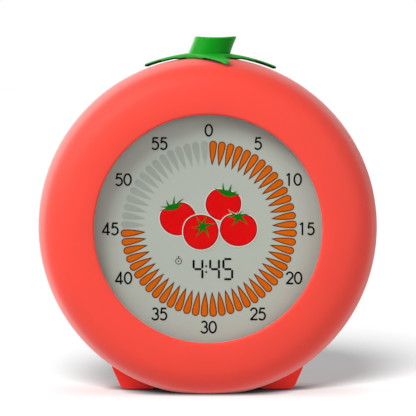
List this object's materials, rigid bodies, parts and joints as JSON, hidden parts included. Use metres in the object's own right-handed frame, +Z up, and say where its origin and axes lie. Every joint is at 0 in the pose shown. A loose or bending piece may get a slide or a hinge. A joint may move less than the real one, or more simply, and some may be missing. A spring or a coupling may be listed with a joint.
{
  "type": "visual countdown timer",
  "caption": "Round tomato-shaped visual countdown timer with a recessed segment display, a leaning stem that turns and presses, rear buttons and a hinged battery door.",
  "frame": {"origin": "on the surface that the timer stands on, below the middle of its width and depth", "axes": "+Z up, the display faces -Y, +X on the right of someone reading the display"},
  "size_m": [0.11, 0.046, 0.1156],
  "materials": {
    "shell_red": "soft satin moulded plastic",
    "leaf_green": "satin moulded plastic",
    "clear_window": "clear polished acrylic",
    "display_face": "fine matt polariser, grey-green",
    "display_glass": "clear glass",
    "reflector_film": "silvery film",
    "printed_film": "printed translucent film",
    "white_plastic": "plain moulded plastic",
    "adhesive_tape": "black foam tape",
    "circuit_board": "green solder mask",
    "black_plastic": "moulded component body",
    "plated_steel": "zinc plated",
    "nickel": "nickel plated spring steel",
    "conductive_rubber": "layered conductive rubber",
    "led_white": "lamp body",
    "cell_sleeve": "plain sleeved battery cell",
    "pad_rubber": "matt rubber"
  },
  "bodies": {
    "housing": {"front_shell": "shell_red", "rear_shell": "shell_red", "calyx": "leaf_green", "display_window": "clear_window", "window_tape": "adhesive_tape", "front_polariser": "display_face", "lcd_front_glass": "display_glass", "lcd_rear_glass": "display_glass", "rear_reflector": "reflector_film", "colour_film": "printed_film", "light_guide": "white_plastic", "backlight_leds": "led_white", "display_frame": "white_plastic", "upper_zebra_strip": "conductive_rubber", "lower_zebra_strip": "conductive_rubber", "main_board": "circuit_board", "controller_chip": "black_plastic", "crystal": "plated_steel", "display_screws": "plated_steel", "shell_screws": "plated_steel", "encoder_case": "plated_steel", "encoder_nut": "plated_steel", "encoder_washer": "plated_steel", "encoder_board": "circuit_board", "rear_board": "circuit_board", "rear_board_screws": "plated_steel", "buzzer": "black_plastic", "mode_tact_switch": "black_plastic", "set_tact_switch": "black_plastic", "slide_switch": "plated_steel", "battery_cells": "cell_sleeve", "positive_contact": "nickel", "negative_contact": "nickel", "link_contact": "nickel", "left_foot_pad": "pad_rubber", "right_foot_pad": "pad_rubber"},
    "press_carrier": {"press_slider": "black_plastic"},
    "knob": {"stem_knob": "leaf_green", "encoder_shaft": "plated_steel"},
    "mode_key": {"mode_button": "leaf_green", "mode_tact_plunger": "white_plastic"},
    "set_key": {"set_button": "leaf_green", "set_tact_plunger": "white_plastic"},
    "sound_key": {"sound_slider": "leaf_green"},
    "door": {"battery_door": "shell_red"}
  },
  "joints": [
    {"name": "knob_press", "type": "slide", "parent": "housing", "child": "press_carrier", "axis": [0, 0, -1], "range_m": [0, 0.0006], "stiffness_N_per_m": 2500, "springref_m": -0.0006},
    {"name": "knob_turn", "type": "hinge", "parent": "press_carrier", "child": "knob", "pos_m": [0, 0.00005, 0.1], "axis": [0, 0, 1], "continuous": true},
    {"name": "mode_press", "type": "slide", "parent": "housing", "child": "mode_key", "axis": [0, -1, 0], "range_m": [0, 0.0004], "stiffness_N_per_m": 1500, "springref_m": -0.0004},
    {"name": "set_press", "type": "slide", "parent": "housing", "child": "set_key", "axis": [0, -1, 0], "range_m": [0, 0.0004], "stiffness_N_per_m": 1500, "springref_m": -0.0004},
    {"name": "sound_slide", "type": "slide", "parent": "housing", "child": "sound_key", "axis": [1, 0, 0], "range_m": [-0.002, 0.002]},
    {"name": "door_hinge", "type": "hinge", "parent": "housing", "child": "door", "pos_m": [0, 0.0216, 0.05465], "axis": [1, 0, 0], "range_deg": [0, 75]}
  ]
}
